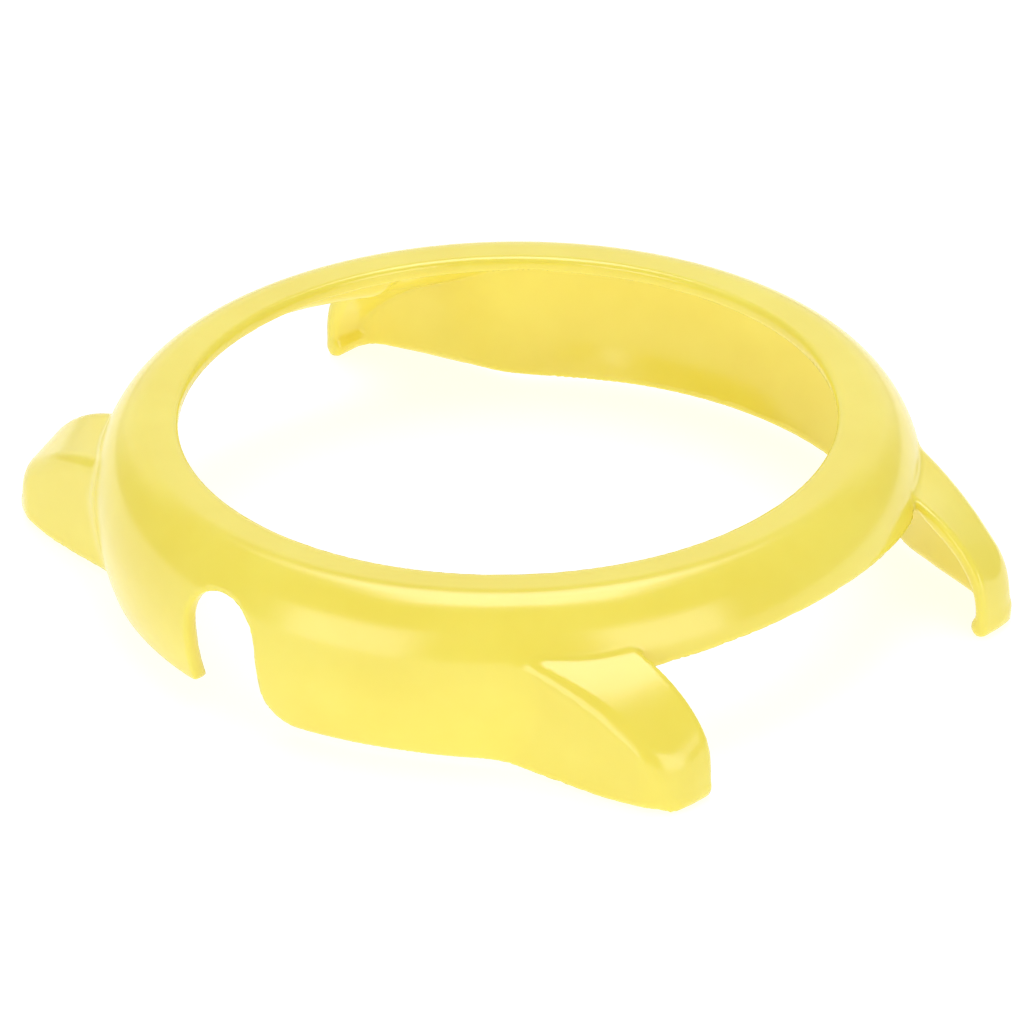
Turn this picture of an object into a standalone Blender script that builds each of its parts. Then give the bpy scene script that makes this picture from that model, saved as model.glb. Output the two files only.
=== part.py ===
"""Clip-on bezel guard for a round 43 mm smartwatch.

One thin-walled moulding in hard plastic: a domed ring with an open centre, two deep side walls, two
shallow skirts where the strap leaves the watch, four guards over the strap lugs with hooked tips, and a
notch for the side button. It is drawn in metres, +Z up, standing on its four hooked tips. The strap
leaves along X, and the button notch is in the wall at -Y. The origin is at the centre of the box, at
its bottom.

The solid is the outer shape less the watch's own shape, which is the same form one wall smaller.
"""
import math

import bmesh
import bpy

# Overall
HEIGHT = 0.00985  # from the tips to the top of the lip
WALL = 0.00088  # wall thickness
LIP_RADIUS = 0.01832  # the opening over the screen

# Turned ring: a flat lip, an elliptical shoulder, then a wall that curves in again like a barrel
RING_RADIUS = 0.0231  # at its widest
SHOULDER_WIDTH = 0.00315
SHOULDER_DROP = 0.00472
BARREL_RADIUS = 0.0118  # upright curve of the wall below the widest point
RING_SIDES = 112

# Lug guards, given for the one at +X +Y
TIP_X = 0.0255
STRAP_GAP_HALF = 0.0111  # the guards are open towards the strap
FLANK_Y = 0.01555  # the flank's distance from the X axis, at FLANK_AT_X
FLANK_AT_X = 0.020
FLANK_SLOPE = 0.196  # the flanks close in towards the tips
TIP_CORNER_RADIUS = 0.0023
ROOT_X = 0.0132  # inside the ring
CREST_X = 0.017  # the top is level up to here, then falls along a quarter ellipse
CREST_DROP = 0.0024  # below the lip's top
TIP_DROP = 0.0083  # below the lip's top, where the end face starts
EDGE_RADIUS = 0.00055  # between the top and the flank
TILT_AT_CREST = 0.10  # fall of the top across the guard, towards the flank
TILT_GROWTH = 60.0  # more of it for each metre further out
TIP_LEVELLING = 0.15  # how much of it is lost again towards the end face
LEVELLING_START_X = 0.022
LUG_STEPS = 12
EDGE_STEPS = 3

# Bottom edges, as heights above the tips
WALL_FOOT = 0.0006  # side walls, at their middle
FOOT_START_X = 0.008  # from here the edge comes down
FOOT_END_X = 0.024  # and from here it lies at the height of the tips
SKIRT_FOOT = 0.00623  # strap-side skirts, at their middle
SKIRT_SAG = 4.5  # the skirt's edge comes down by this much times y squared

# Button notch
NOTCH_X = 0.0001  # just off the middle, as the button is
NOTCH_HALF_WIDTH = 0.00252
NOTCH_CENTRE_Z = 0.00518
NOTCH_FLARE_RADII = (0.0005, 0.0021)  # lower corners, at -X and at +X

# Hook lip inside each tip
HOOK_RADIUS = 0.00048
HOOK_Z = 0.00055
HOOK_END_Y = 0.0138

PAST = 0.001  # how far a cutter runs past what it cuts
BELOW = -0.0012  # depth to which the shapes run before their bottom edge is cut
COLOUR = (0.93, 0.80, 0.09, 1.0)


def new_object(name, bm, helper):
    """Turn a bmesh into an object. A helper only shapes the part and isn't one itself."""
    bmesh.ops.recalc_face_normals(bm, faces=bm.faces)
    mesh = bpy.data.meshes.new(name)
    bm.to_mesh(mesh)
    bm.free()
    obj = bpy.data.objects.new(name, mesh)
    bpy.context.scene.collection.objects.link(obj)
    if helper:
        obj.hide_render = True
        obj.display_type = "WIRE"
    return obj


def turned(name, profile, helper):
    """Turn a profile of (radius, z) points, both ends on the axis, round Z.

    A helper is turned on by half a facet, so its edges don't run along the part's own edges.
    """
    bm = bmesh.new()
    lead = math.pi / RING_SIDES if helper else 0.0
    verts = [bm.verts.new((r * math.cos(lead), r * math.sin(lead), z)) for r, z in profile]
    for a, b in zip(verts, verts[1:]):
        bm.edges.new((a, b))
    bmesh.ops.spin(
        bm,
        geom=bm.verts[:] + bm.edges[:],
        axis=(0.0, 0.0, 1.0),
        cent=(0.0, 0.0, 0.0),
        angle=2.0 * math.pi,
        steps=RING_SIDES,
        use_merge=True,
    )
    bmesh.ops.remove_doubles(bm, verts=bm.verts, dist=1e-7)
    return new_object(name, bm, helper)


def prism(name, outline, axis, start, end):
    """Extrude a flat outline of point pairs along X, Y or Z."""
    bm = bmesh.new()
    corners = []
    for first, second in outline:
        point = [first, second]
        point.insert("xyz".index(axis), start)
        corners.append(bm.verts.new(point))
    face = bm.faces.new(corners)
    grown = bmesh.ops.extrude_face_region(bm, geom=[face])
    shift = [0.0, 0.0, 0.0]
    shift["xyz".index(axis)] = end - start
    moved = [item for item in grown["geom"] if isinstance(item, bmesh.types.BMVert)]
    bmesh.ops.translate(bm, verts=moved, vec=shift)
    return new_object(name, bm, helper=True)


def arc(centre, radius, start, end, steps):
    """Points on an arc from one angle to another, both in degrees and both included."""
    angles = [math.radians(start + (end - start) * i / steps) for i in range(steps + 1)]
    return [(centre[0] + radius * math.cos(a), centre[1] + radius * math.sin(a)) for a in angles]


def ring_profile(inset, bottom):
    """Half section of the ring's outer shape, or of the watch inside it when inset by one wall."""
    shoulder_x = RING_RADIUS - SHOULDER_WIDTH
    widest_z = HEIGHT - SHOULDER_DROP
    width = SHOULDER_WIDTH - inset
    drop = SHOULDER_DROP - inset
    points = [(0.0, HEIGHT - inset)]
    for i in range(9):
        angle = math.radians(90.0 * i / 8)
        points.append((shoulder_x + width * math.sin(angle), widest_z + drop * math.cos(angle)))
    barrel = BARREL_RADIUS - inset
    centre_x = RING_RADIUS - BARREL_RADIUS
    for i in range(1, 7):
        z = widest_z + (bottom - widest_z) * i / 6
        points.append((centre_x + math.sqrt(barrel**2 - (z - widest_z) ** 2), z))
    points.append((0.0, bottom))
    return points


def ease(value, start, end):
    """0 before start, 1 after end, and a smooth step between them."""
    t = min(max((value - start) / (end - start), 0.0), 1.0)
    return t * t * (3.0 - 2.0 * t)


def flank_y(x, inset):
    """Y of the guard's outer side at x: a straight flank, then a round corner into the end face."""
    run = math.hypot(1.0, FLANK_SLOPE)
    line = FLANK_Y - FLANK_SLOPE * (x - FLANK_AT_X) - inset * run
    radius = TIP_CORNER_RADIUS - inset
    centre_x = TIP_X - TIP_CORNER_RADIUS
    centre_y = FLANK_Y - FLANK_SLOPE * (centre_x - FLANK_AT_X) - TIP_CORNER_RADIUS * run
    tangent_x = centre_x + radius * FLANK_SLOPE / run
    if x <= tangent_x:
        return line
    return centre_y + math.sqrt(max(radius**2 - (x - centre_x) ** 2, 0.0))


def guard_section(x, crest_z, inset, inner_y, bottom):
    """One upright section of a lug guard, as (y, z) points: its top tilts, its outer edge is round."""
    outer_y = flank_y(x, inset)
    tilt = TILT_AT_CREST + TILT_GROWTH * (x - CREST_X)
    tilt -= TIP_LEVELLING * ease(x, LEVELLING_START_X, TIP_X)
    edge = EDGE_RADIUS
    corner_z = crest_z - tilt * (outer_y - STRAP_GAP_HALF)
    points = [(inner_y, bottom), (outer_y, bottom), (outer_y, corner_z - edge)]
    for i in range(1, EDGE_STEPS + 1):
        turn = math.radians(90.0 * i / EDGE_STEPS)
        y = outer_y - edge * (1.0 - math.cos(turn))
        z = crest_z - tilt * (y - STRAP_GAP_HALF) - edge * (1.0 - math.sin(turn))
        points.append((y, z))
    points.append((inner_y, crest_z - tilt * (inner_y - STRAP_GAP_HALF)))
    return points


def lug_guards(name, inset, inner_y, bottom):
    """All four lug guards, lofted once through their sections and then mirrored."""
    reach = TIP_X - CREST_X - inset
    fall = TIP_DROP - CREST_DROP - inset
    stations = [(ROOT_X + inset, HEIGHT - CREST_DROP - inset)]
    for i in range(LUG_STEPS + 1):
        angle = math.radians(90.0 * i / LUG_STEPS)
        stations.append((CREST_X + reach * math.sin(angle), HEIGHT - TIP_DROP + fall * math.cos(angle)))
    bm = bmesh.new()
    loops = []
    for x, crest_z in stations:
        section = guard_section(x, crest_z, inset, inner_y, bottom)
        loops.append([bm.verts.new((x, y, z)) for y, z in section])
    bm.faces.new(loops[0])
    bm.faces.new(loops[-1])
    for near, far in zip(loops, loops[1:]):
        for i in range(len(near)):
            j = (i + 1) % len(near)
            bm.faces.new((near[i], near[j], far[j], far[i]))
    obj = new_object(name, bm, helper=True)
    mirror = obj.modifiers.new("four_corners", "MIRROR")
    mirror.use_axis = (True, True, False)
    mirror.merge_threshold = 0.00001
    return obj


def floor_cutter():
    """Everything below the bottom edges of the side walls and the lug guards."""
    top = []
    for i in range(-30, 31):
        x = 0.028 * i / 30
        top.append((x, WALL_FOOT * (1.0 - ease(abs(x), FOOT_START_X, FOOT_END_X))))
    low = BELOW - 2 * PAST
    outline = [(-0.028, low)] + top + [(0.028, low)]
    return prism("floor_cutter", outline, "y", -0.028, 0.028)


def strap_cutter():
    """The strap's way through, under the arched edges of the two skirts."""
    side = STRAP_GAP_HALF - 0.00003
    top = []
    for i in range(25):
        y = side - 2.0 * side * i / 24
        top.append((y, SKIRT_FOOT - SKIRT_SAG * y * y))
    low = BELOW - 2 * PAST
    return prism("strap_cutter", [(-side, low), (side, low)] + top, "x", -0.028, 0.028)


def notch_cutter():
    """The button's way in: a round-headed slot that flares out at the wall's bottom edge."""
    left, right = NOTCH_FLARE_RADII
    low = BELOW - 2 * PAST
    side_x = NOTCH_X + NOTCH_HALF_WIDTH
    far_x = NOTCH_X - NOTCH_HALF_WIDTH
    outline = [(far_x - left, low), (side_x + right, low)]
    outline += arc((side_x + right, WALL_FOOT + right), right, 270, 180, 8)
    outline += arc((NOTCH_X, NOTCH_CENTRE_Z), NOTCH_HALF_WIDTH, 0, 180, 20)
    outline += arc((far_x - left, WALL_FOOT + left), left, 0, -90, 4)
    return prism("notch_cutter", outline, "y", -0.028, 0.0)


def hooks():
    """The small round lips inside the four tips that hold the guard under the watch's lugs."""
    outline = arc((TIP_X - WALL - 0.0001, HOOK_Z), HOOK_RADIUS, 0, 330, 11)
    obj = prism("hooks", outline, "y", STRAP_GAP_HALF + 0.00001, HOOK_END_Y)
    mirror = obj.modifiers.new("four_corners", "MIRROR")
    mirror.use_axis = (True, True, False)
    mirror.merge_threshold = 0.00001
    return obj


def plastic(name, colour):
    """Glossy hard plastic."""
    material = bpy.data.materials.new(name)
    material.use_nodes = True
    shader = material.node_tree.nodes["Principled BSDF"]
    shader.inputs["Base Color"].default_value = colour
    shader.inputs["Roughness"].default_value = 0.22
    shader.inputs["Metallic"].default_value = 0.0
    material.diffuse_color = colour
    return material


def combine(obj, other, operation):
    """Add a Boolean of one helper to the part."""
    step = obj.modifiers.new(other.name, "BOOLEAN")
    step.operation = operation
    step.solver = "EXACT"
    step.object = other


def build():
    for obj in list(bpy.data.objects):
        bpy.data.objects.remove(obj)
    guard = turned("bezel_guard", ring_profile(0.0, BELOW), helper=False)
    combine(guard, lug_guards("outer_lugs", 0.0, STRAP_GAP_HALF, BELOW + 0.0002), "UNION")
    low = BELOW - PAST
    combine(guard, turned("watch_body", ring_profile(WALL, low), helper=True), "DIFFERENCE")
    open_side = STRAP_GAP_HALF - 0.00006
    combine(guard, lug_guards("watch_lugs", WALL, open_side, low + 0.0002), "DIFFERENCE")
    opening = [(0.0, HEIGHT + PAST), (LIP_RADIUS, HEIGHT + PAST), (LIP_RADIUS, 0.0), (0.0, 0.0)]
    combine(guard, turned("opening", opening, helper=True), "DIFFERENCE")
    combine(guard, strap_cutter(), "DIFFERENCE")
    combine(guard, notch_cutter(), "DIFFERENCE")
    combine(guard, hooks(), "UNION")
    combine(guard, floor_cutter(), "DIFFERENCE")
    guard.data.materials.append(plastic("yellow_plastic", COLOUR))
    guard.data.shade_smooth()
    guard.data.set_sharp_from_angle(angle=math.radians(35.0))


build()
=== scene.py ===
"""The looks of the bezel guard: its fine moulded surface, its plastic, and the studio it is shown in.

The guard is one moulding whose edges all run into each other with small round fillets. Its form is
written here as a distance field: a function of a point in space that is negative inside the plastic.
The field is sampled on a grid, a quad mesh is drawn through its zero level, and each vertex is then
moved onto the exact surface. Units are metres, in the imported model's frame.
"""
import math

import bpy
import numpy as np
from mathutils import Matrix, Vector


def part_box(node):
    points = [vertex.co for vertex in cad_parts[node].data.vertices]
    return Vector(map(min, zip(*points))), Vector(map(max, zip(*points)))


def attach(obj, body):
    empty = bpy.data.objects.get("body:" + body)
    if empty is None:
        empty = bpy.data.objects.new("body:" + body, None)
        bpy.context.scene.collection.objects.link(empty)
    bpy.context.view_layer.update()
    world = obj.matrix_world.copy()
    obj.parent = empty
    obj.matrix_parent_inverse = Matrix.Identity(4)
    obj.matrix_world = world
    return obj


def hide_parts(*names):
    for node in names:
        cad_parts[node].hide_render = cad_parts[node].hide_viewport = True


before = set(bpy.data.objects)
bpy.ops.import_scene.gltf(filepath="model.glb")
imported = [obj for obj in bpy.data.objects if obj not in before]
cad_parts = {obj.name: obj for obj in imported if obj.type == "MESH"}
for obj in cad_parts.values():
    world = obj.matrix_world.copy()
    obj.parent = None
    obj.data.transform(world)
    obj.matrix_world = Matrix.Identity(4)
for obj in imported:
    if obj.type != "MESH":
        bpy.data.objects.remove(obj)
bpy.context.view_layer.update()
LOW, HIGH = (np.array(corner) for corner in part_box("bezel_guard"))

# Ring, measured from its axis and down from the lip's top
TOP = float(HIGH[2])
RING_RADIUS = float(HIGH[1])
SHOULDER_WIDTH = 0.00315
SHOULDER_DROP = 0.00472
BARREL_CURVE = 42.4  # the wall's radius falls by this much times the height below the widest squared
WALL = 0.00088
LIP_RADIUS = 0.01830
LIP_EDGE_RADII = (0.0003, 0.0002)  # upper, lower
FOOT_EDGE_RADIUS = 0.0003  # bottom edges of the walls

# Lug guards, given for the one at +X +Y
TIP_X = float(HIGH[0])
STRAP_GAP_HALF = 0.0111
FLANK_Y = 0.01555
FLANK_AT_X = 0.020
FLANK_SLOPE = 0.196
TIP_CORNER_RADIUS = 0.0023
LUG_ROOT_X = 0.012
CREST_X = 0.017
CREST_DROP = 0.0024
TIP_DROP = 0.0083
TILT_AT_CREST = 0.10  # of the top face, down towards the flank
TILT_GROWTH = 60.0
TIP_LEVELLING = 0.1  # how much of that tilt the tip's own face loses again
LEVELLING_X = (0.022, 0.0255)
LEVEL_MARGIN = 0.0015  # the tilt goes on this far past the strap side
TOP_FIELD_SCALE = 0.9  # makes up for the tilt, which steepens the top face's field
LUG_EDGE_RADIUS = 0.0007
OVERLAP_Y = 0.003  # lug guard and skirt overlap by this much at the strap side
OUTER_FILLET = (0.0003, 0.0007)  # between ring and lug guard: at the lug guard's top face, lower down
OUTER_FILLET_DROP = (0.0003, 0.0025)  # below the top face, where it grows from one to the other
INNER_FILLET = 0.0024  # the same corner in the hollow
LUG_FOOT_X = (0.015, 0.018)  # the bottom edge's radii change here, from ring to lug guard
LUG_FOOT_CHANGE = (-0.0001, 0.00045)  # outside, inside
TIP_FOOT_X = (0.0205, 0.0245)  # and here once more, towards the tip
TIP_FOOT_CHANGE = (0.0005, -0.0004)
STRAP_EDGE_RADIUS = 0.00035
STANDING_EDGE_RADIUS = 0.00012

# Bottom edges, as heights above the tips
WALL_FOOT = 0.0005  # side walls, at their middle
NOTCH_FOOT_RISE = (0.00045, 0.00015)  # more beside the notch, at -X and at +X
FOOT_START_X = 0.008
FOOT_END_X = 0.024
SKIRT_FOOT = 0.00623
SKIRT_SAG = 4.5
SKIRT_CHAMFER = 0.3  # its edge face rises inwards by this slope
SKIRT_INNER_RADIUS = 0.0007
SKIRT_OPENING_Y = (STRAP_GAP_HALF - 0.0012, STRAP_GAP_HALF + 0.0006)  # where it opens into the lug guard

# Button notch
NOTCH_X = 0.0001
NOTCH_HALF_WIDTH = 0.00252
NOTCH_CENTRE_Z = 0.00518
NOTCH_FLARE_RADII = (0.0005, 0.0021)  # of its foot, at -X and at +X
NOTCH_DRAFTS = (0.02, 0.05)  # its sides part downwards by these slopes
NOTCH_REACH = 0.0075  # the flared foot is cut off this far from the middle
NOTCH_EDGE_RADIUS = 0.0002

# Hook lips inside the tips
HOOK_RADIUS = 0.00048
HOOK_Z = 0.00055
HOOK_END_Y = 0.0140
HOOK_SINK = 0.00008  # its axis lies this far inside the wall's inner face
HOOK_FILLET = 0.0004

SPACING = 0.00022  # of the grid that the surface is drawn from
SETTLING_ROUNDS = 4
SETTLING_STEP = 0.3  # the most that a vertex moves in a round, in spacings


def soft_min(a, b, reach):
    """Union of two forms with a soft fillet between them."""
    overlap = np.maximum(reach - np.abs(a - b), 0.0) / reach
    return np.minimum(a, b) - overlap**2 * reach * 0.25


def round_max(a, b, radius):
    """Overlap of two forms with the edge between them rounded."""
    rounded = np.hypot(np.maximum(a + radius, 0.0), np.maximum(b + radius, 0.0))
    return np.minimum(-radius, np.maximum(a, b)) + rounded


def round_min(a, b, radius):
    """Union of two forms with a round inner corner between them."""
    return -round_max(-a, -b, radius)


def ease(start, end, value):
    """0 before start, 1 after end, and a smooth step between them."""
    t = np.clip((value - start) / (end - start), 0.0, 1.0)
    return t * t * (3.0 - 2.0 * t)


def mix(ends, share):
    """The first end at share 0, the second at share 1."""
    return ends[0] + (ends[1] - ends[0]) * share


def quarter_ellipse(x, z, width, height):
    """Distance from a quarter ellipse, for a point in its quadrant."""
    x = np.maximum(x, 1e-7)
    z = np.maximum(z, 1e-7)
    near = np.hypot(x / width, z / height)
    return near * (near - 1.0) / np.hypot(x / width**2, z / height**2)


def ring_form(radius, z):
    """The turned outside: a flat lip, an elliptical shoulder and a wall that curves in below it."""
    shoulder = RING_RADIUS - SHOULDER_WIDTH
    widest = TOP - SHOULDER_DROP
    below = np.minimum(z - widest, 0.0)
    slope = 2.0 * BARREL_CURVE * -below
    wall = (radius - RING_RADIUS + BARREL_CURVE * below**2) / np.sqrt(1.0 + slope**2)
    dome = quarter_ellipse(radius - shoulder, z - widest, SHOULDER_WIDTH, SHOULDER_DROP)
    return np.where(radius < shoulder, z - TOP, np.where(z < widest, wall, dome))


def lug_form(x, y, z):
    """The outside of a lug guard, and its top face alone."""
    flank = (y - FLANK_Y + FLANK_SLOPE * (x - FLANK_AT_X)) / math.hypot(1.0, FLANK_SLOPE)
    out = np.maximum(y - STRAP_GAP_HALF, -LEVEL_MARGIN)
    side = round_max(flank, x - TIP_X, TIP_CORNER_RADIUS)
    tilt = TILT_AT_CREST + TILT_GROWTH * (x - CREST_X) - TIP_LEVELLING * ease(*LEVELLING_X, x)
    level = z + tilt * out
    tip_z = TOP - TIP_DROP
    reach = TIP_X - CREST_X
    rise = TIP_DROP - CREST_DROP
    arch = quarter_ellipse(x - CREST_X, level - tip_z, reach, rise)
    crest = level - tip_z - rise
    top = TOP_FIELD_SCALE * np.where(x < CREST_X, crest, np.where(level < tip_z, x - TIP_X, arch))
    return round_max(side, top, LUG_EDGE_RADIUS), top


def outside_form(x, y, radius, z):
    """Ring and lug guard as one solid form, the form that is cored out of it, and the ring alone."""
    ring = ring_form(radius, z)
    lug, top = lug_form(x, y, z)
    lug = np.maximum(lug, LUG_ROOT_X - x)
    lug = np.maximum(lug, STRAP_GAP_HALF - OVERLAP_Y - y)
    fillet = mix(OUTER_FILLET, ease(*OUTER_FILLET_DROP, -top))
    return soft_min(ring, lug, fillet), soft_min(ring, lug, INNER_FILLET), ring


def notch_form(x, z, foot):
    """The button's way in: a round-headed slot that flares out at the wall's bottom edge."""
    across = x - NOTCH_X
    up = z - NOTCH_CENTRE_Z
    side = (across > 0.0).astype(int)
    parting = np.take(NOTCH_DRAFTS, side) * -np.minimum(up, 0.0)
    head = np.hypot(across, np.maximum(up, 0.0)) - NOTCH_HALF_WIDTH
    slot = np.where(up > 0.0, head, np.abs(across) - NOTCH_HALF_WIDTH - parting)
    flared = round_min(slot, z - foot, np.take(NOTCH_FLARE_RADII, side))
    return np.where(np.abs(across) < NOTCH_REACH, flared, slot)


def guard_form(x, y, z):
    """Distance field of the whole guard, which is the same in all four quarters but for the notch."""
    across, along = np.abs(x), np.abs(y)
    radius = np.hypot(x, y)
    outside, core, ring = outside_form(across, along, radius, z)

    rise = np.where(x < 0.0, NOTCH_FOOT_RISE[0], NOTCH_FOOT_RISE[1]) * (y < 0.0)
    foot = (WALL_FOOT + rise) * (1.0 - ease(FOOT_START_X, FOOT_END_X, across))
    lip = LIP_RADIUS - radius
    upper, lower = LIP_EDGE_RADII

    # Side walls and lug guards, with the hook lips
    shell = round_max(outside, lip, upper)
    hollow = round_max(-core - WALL, lip, lower)
    in_lug, at_tip = ease(*LUG_FOOT_X, across), ease(*TIP_FOOT_X, across)
    radii = [
        FOOT_EDGE_RADIUS + LUG_FOOT_CHANGE[i] * in_lug + TIP_FOOT_CHANGE[i] * at_tip
        for i in range(2)
    ]
    deep = np.maximum(round_max(shell, foot - z, radii[0]), round_max(hollow, foot - z, radii[1]))
    hook = np.hypot(across - TIP_X + WALL - HOOK_SINK, z - HOOK_Z) - HOOK_RADIUS
    hook = np.maximum(hook, np.maximum(shell, along - HOOK_END_Y))
    deep = soft_min(deep, hook, HOOK_FILLET)
    deep = round_max(deep, STRAP_GAP_HALF - along, STRAP_EDGE_RADIUS)
    deep = round_max(deep, foot - z, STANDING_EDGE_RADIUS)

    # Strap-side skirts
    arch = SKIRT_FOOT - SKIRT_SAG * y**2 + SKIRT_CHAMFER * np.clip(-ring, 0.0, WALL)
    opening = ease(*SKIRT_OPENING_Y, along)
    shell = round_max(round_max(ring, lip, upper), arch - z, FOOT_EDGE_RADIUS)
    hollow = round_max(-ring - (core - ring) * opening - WALL, lip, lower)
    hollow = round_max(hollow, arch - z, SKIRT_INNER_RADIUS)
    skirt = np.maximum(np.maximum(shell, hollow), along - STRAP_GAP_HALF - OVERLAP_Y)

    guard = np.minimum(deep, skirt)
    notched = round_max(guard, -notch_form(x, z, foot), NOTCH_EDGE_RADIUS)
    return np.where(y < 0.0, notched, guard)


def filled(field):
    """Which samples are inside, with more of them filled in until none of them meet only at a corner.
    Two sheets of the mesh then never share an edge."""
    inside = field < 0.0
    while True:
        before = inside.sum()
        for first, second in ((0, 1), (1, 2), (2, 0)):
            ahead, beside = np.roll(inside, -1, first), np.roll(inside, -1, second)
            across = np.roll(ahead, -1, second)
            falling = inside & across & ~ahead & ~beside
            rising = ahead & beside & ~inside & ~across
            inside = inside | rising | np.roll(falling, 1, first)
        if inside.sum() == before:
            return inside


def surface_net(field):
    """Quads through a sampled field's zero level: one vertex in each cell that the surface crosses."""
    inside = filled(field)
    field = np.where(inside, np.minimum(field, -1e-9), field)
    strides = np.array([field.shape[1] * field.shape[2], field.shape[2], 1])
    crossings = []
    quads = []
    for axis in range(3):
        step = np.eye(3, dtype=int)[axis]
        side, depth = np.eye(3, dtype=int)[(axis + 1) % 3], np.eye(3, dtype=int)[(axis + 2) % 3]
        ahead = np.roll(inside, -1, axis=axis)
        cells = np.argwhere(inside != ahead)
        here = field[tuple(cells.T)]
        there = field[tuple((cells + step).T)]
        crossings.append(cells + step * (here / (here - there))[:, None])
        ring = np.stack([cells, cells - side, cells - side - depth, cells - depth], axis=1)
        ring[here > 0.0] = ring[here > 0.0][:, ::-1]
        quads.append(ring @ strides)
    quads = np.concatenate(quads)
    crossings = np.concatenate(crossings)
    _, corners = np.unique(quads, return_inverse=True)
    corners = corners.reshape(quads.shape)
    shared = np.bincount(corners.ravel())
    sums = [np.bincount(corners.ravel(), np.repeat(crossings[:, axis], 4)) for axis in range(3)]
    return np.stack(sums, axis=1) / shared[:, None], corners


def slopes(form, points):
    """Gradient of a form at some points."""
    reach = 1e-5
    parts = []
    for axis in range(3):
        shift = reach * np.eye(3)[axis]
        parts.append(form(*(points + shift).T) - form(*(points - shift).T))
    return np.stack(parts, axis=1) / (2.0 * reach)


def moulding(name, form, low, high):
    """A mesh of the surface where a form is zero, inside a box."""
    counts = np.ceil((high - low) / SPACING).astype(int) + 5
    start = (low + high) / 2.0 - SPACING * (counts - 1) / 2.0
    axes = [start[i] + SPACING * np.arange(counts[i]) for i in range(3)]
    field = form(*np.meshgrid(*axes, indexing="ij"))
    points, quads = surface_net(field)
    points = start + SPACING * points
    for _ in range(SETTLING_ROUNDS):
        slope = slopes(form, points)
        move = form(*points.T)[:, None] * slope / (slope**2).sum(axis=1)[:, None]
        points -= np.clip(move, -SETTLING_STEP * SPACING, SETTLING_STEP * SPACING)
    mesh = bpy.data.meshes.new(name)
    mesh.from_pydata(points.tolist(), [], quads.tolist())
    mesh.shade_smooth()
    obj = bpy.data.objects.new(name, mesh)
    bpy.context.scene.collection.objects.link(obj)
    return obj


def glossy_plastic():
    """Yellow plastic, moulded through in one colour: smooth and glossy, with a little light in it."""
    material = bpy.data.materials.new("glossy_yellow_plastic")
    material.use_nodes = True
    nodes, links = material.node_tree.nodes, material.node_tree.links
    shader = nodes["Principled BSDF"]
    shader.inputs["IOR"].default_value = 1.7
    shader.inputs["Subsurface Weight"].default_value = 0.25
    shader.inputs["Subsurface Radius"].default_value = (1.0, 0.85, 0.3)
    shader.inputs["Subsurface Scale"].default_value = 0.0006
    place = nodes.new("ShaderNodeTexCoord")

    def noise(scale, detail):
        """Noise fixed to the guard, with its scale in waves per metre."""
        node = nodes.new("ShaderNodeTexNoise")
        node.inputs["Scale"].default_value = scale
        node.inputs["Detail"].default_value = detail
        links.new(place.outputs["Object"], node.inputs["Vector"])
        return node

    tone = nodes.new("ShaderNodeValToRGB")
    tone.color_ramp.elements[0].position = 0.35
    tone.color_ramp.elements[0].color = (0.90, 0.76, 0.085, 1.0)
    tone.color_ramp.elements[1].position = 0.65
    tone.color_ramp.elements[1].color = (0.93, 0.80, 0.105, 1.0)
    links.new(noise(160.0, 3.0).outputs["Fac"], tone.inputs["Fac"])
    links.new(tone.outputs["Color"], shader.inputs["Base Color"])

    gloss = nodes.new("ShaderNodeMapRange")
    gloss.inputs["To Min"].default_value = 0.14
    gloss.inputs["To Max"].default_value = 0.22
    links.new(noise(450.0, 4.0).outputs["Fac"], gloss.inputs["Value"])
    links.new(gloss.outputs["Result"], shader.inputs["Roughness"])

    skin = nodes.new("ShaderNodeBump")
    skin.inputs["Strength"].default_value = 0.05
    skin.inputs["Distance"].default_value = 0.0001
    links.new(noise(1200.0, 2.0).outputs["Fac"], skin.inputs["Height"])
    links.new(skin.outputs["Normal"], shader.inputs["Normal"])
    return material


def make_guard():
    guard = moulding("moulded_guard", guard_form, LOW, HIGH)
    guard.data.materials.append(glossy_plastic())
    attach(guard, "root")
    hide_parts("bezel_guard")


FLOOR_HALF = 3.0
FLOOR_GAP = 0.00001


def make_floor():
    """A large pale floor just under the tips, lit so far that it comes out white."""
    mesh = bpy.data.meshes.new("floor")
    half = FLOOR_HALF
    corners = [(-half, -half, 0.0), (half, -half, 0.0), (half, half, 0.0), (-half, half, 0.0)]
    mesh.from_pydata(corners, [], [(0, 1, 2, 3)])
    floor = bpy.data.objects.new("floor", mesh)
    floor.location.z = -FLOOR_GAP
    bpy.context.scene.collection.objects.link(floor)
    material = bpy.data.materials.new("pale_floor")
    material.use_nodes = True
    shader = material.node_tree.nodes["Principled BSDF"]
    shader.inputs["Base Color"].default_value = (0.4, 0.4, 0.4, 1.0)
    shader.inputs["Roughness"].default_value = 0.8
    shader.inputs["Emission Color"].default_value = (1.0, 1.0, 1.0, 1.0)
    shader.inputs["Emission Strength"].default_value = 0.75
    mesh.materials.append(material)


# Studio lights. Each is built of layers, given as a scale and a share of its radiance
LAYER_GAP = 0.005
SOFT_LAYERS = ((0.8, 0.45), (1.0, 0.35), (1.25, 0.2))
FIRM_LAYERS = ((0.85, 0.5), (1.0, 0.3), (1.2, 0.2))


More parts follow.
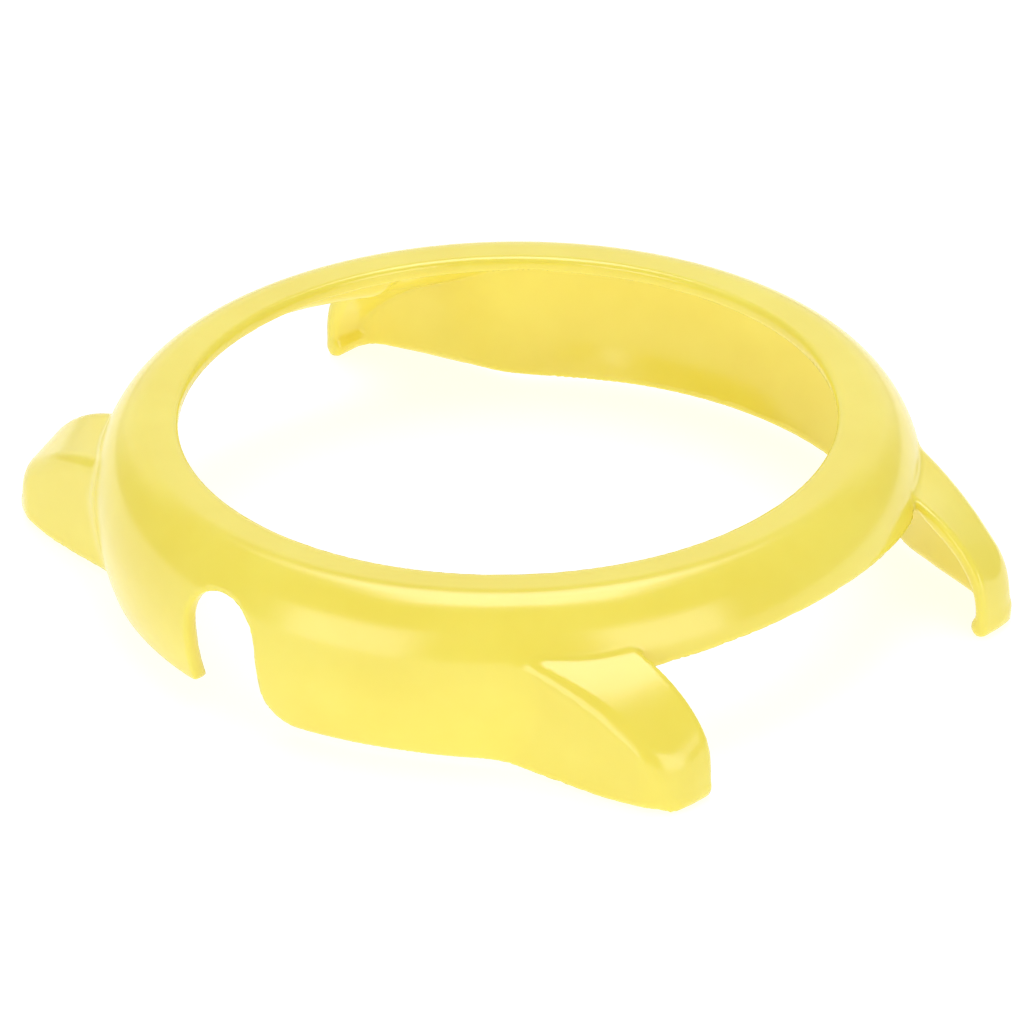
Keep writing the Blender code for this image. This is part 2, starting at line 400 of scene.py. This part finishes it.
def softbox(name, direction, distance, size, radiance, layers):
    """A rectangular studio light that faces the guard, from a direction given as a turn from -Y and a
    lift, in degrees. Its layers lie one behind the other and make it fade towards its edges."""
    turn, lift = (math.radians(angle) for angle in direction)
    away = Vector((math.sin(turn) * math.cos(lift), -math.cos(turn) * math.cos(lift), math.sin(lift)))
    for i, (scale, share) in enumerate(layers):
        light = bpy.data.lights.new(f"{name}_{i}", "AREA")
        light.shape = "RECTANGLE"
        light.size, light.size_y = size[0] * scale, size[1] * scale
        light.energy = radiance * share * math.pi * light.size * light.size_y
        obj = bpy.data.objects.new(f"{name}_{i}", light)
        obj.location = away * (distance + LAYER_GAP * i)
        obj.rotation_euler = away.to_track_quat("Z", "Y").to_euler()
        bpy.context.scene.collection.objects.link(obj)


def make_studio():
    bpy.context.scene.view_settings.view_transform = "Standard"
    world = bpy.data.worlds.new("studio")
    bpy.context.scene.world = world
    world.use_nodes = True
    backdrop = world.node_tree.nodes["Background"]
    backdrop.inputs["Color"].default_value = (1.0, 1.0, 1.0, 1.0)
    backdrop.inputs["Strength"].default_value = 0.41
    softbox("overhead", (-136.0, 79.0), 0.6, (0.40, 0.48), 3.2, SOFT_LAYERS)
    softbox("left_front", (0.0, 13.0), 0.6, (0.40, 0.38), 1.98, FIRM_LAYERS)
    softbox("right_front", (84.0, 11.0), 0.6, (0.38, 0.42), 1.98, FIRM_LAYERS)
    softbox("backdrop", (-136.0, 22.0), 0.7, (1.1, 0.5), 0.6, SOFT_LAYERS)


# Camera: a long lens at the photograph's viewing angle. Turn, lift and roll are in degrees
VIEW_TURN = 43.6
VIEW_LIFT = 29.07
VIEW_ROLL = -0.894
VIEW_DISTANCE = 0.450
VIEW_LENS = 285.33
VIEW_ACROSS = -0.00015
VIEW_DOWN = -0.0056631


def make_camera():
    turn, lift = math.radians(VIEW_TURN), math.radians(VIEW_LIFT)
    right = Vector((math.cos(turn), math.sin(turn), 0.0))
    ahead = Vector((-math.sin(turn) * math.cos(lift), math.cos(turn) * math.cos(lift), -math.sin(lift)))
    down = ahead.cross(right)
    centre = Vector((0.0, 0.0, TOP)) - VIEW_ACROSS * right - VIEW_DOWN * down - VIEW_DISTANCE * ahead
    camera = bpy.data.cameras.new("camera")
    camera.lens = VIEW_LENS
    camera.sensor_width = 36.0
    camera.clip_start = 0.01
    camera.clip_end = 20.0
    obj = bpy.data.objects.new("camera", camera)
    pose = Matrix((right, -down, -ahead)).transposed().to_4x4()
    pose = pose @ Matrix.Rotation(math.radians(VIEW_ROLL), 4, "Z")
    pose.translation = centre
    obj.matrix_world = pose
    bpy.context.scene.collection.objects.link(obj)
    bpy.context.scene.camera = obj


make_guard()
make_floor()
make_studio()
make_camera()
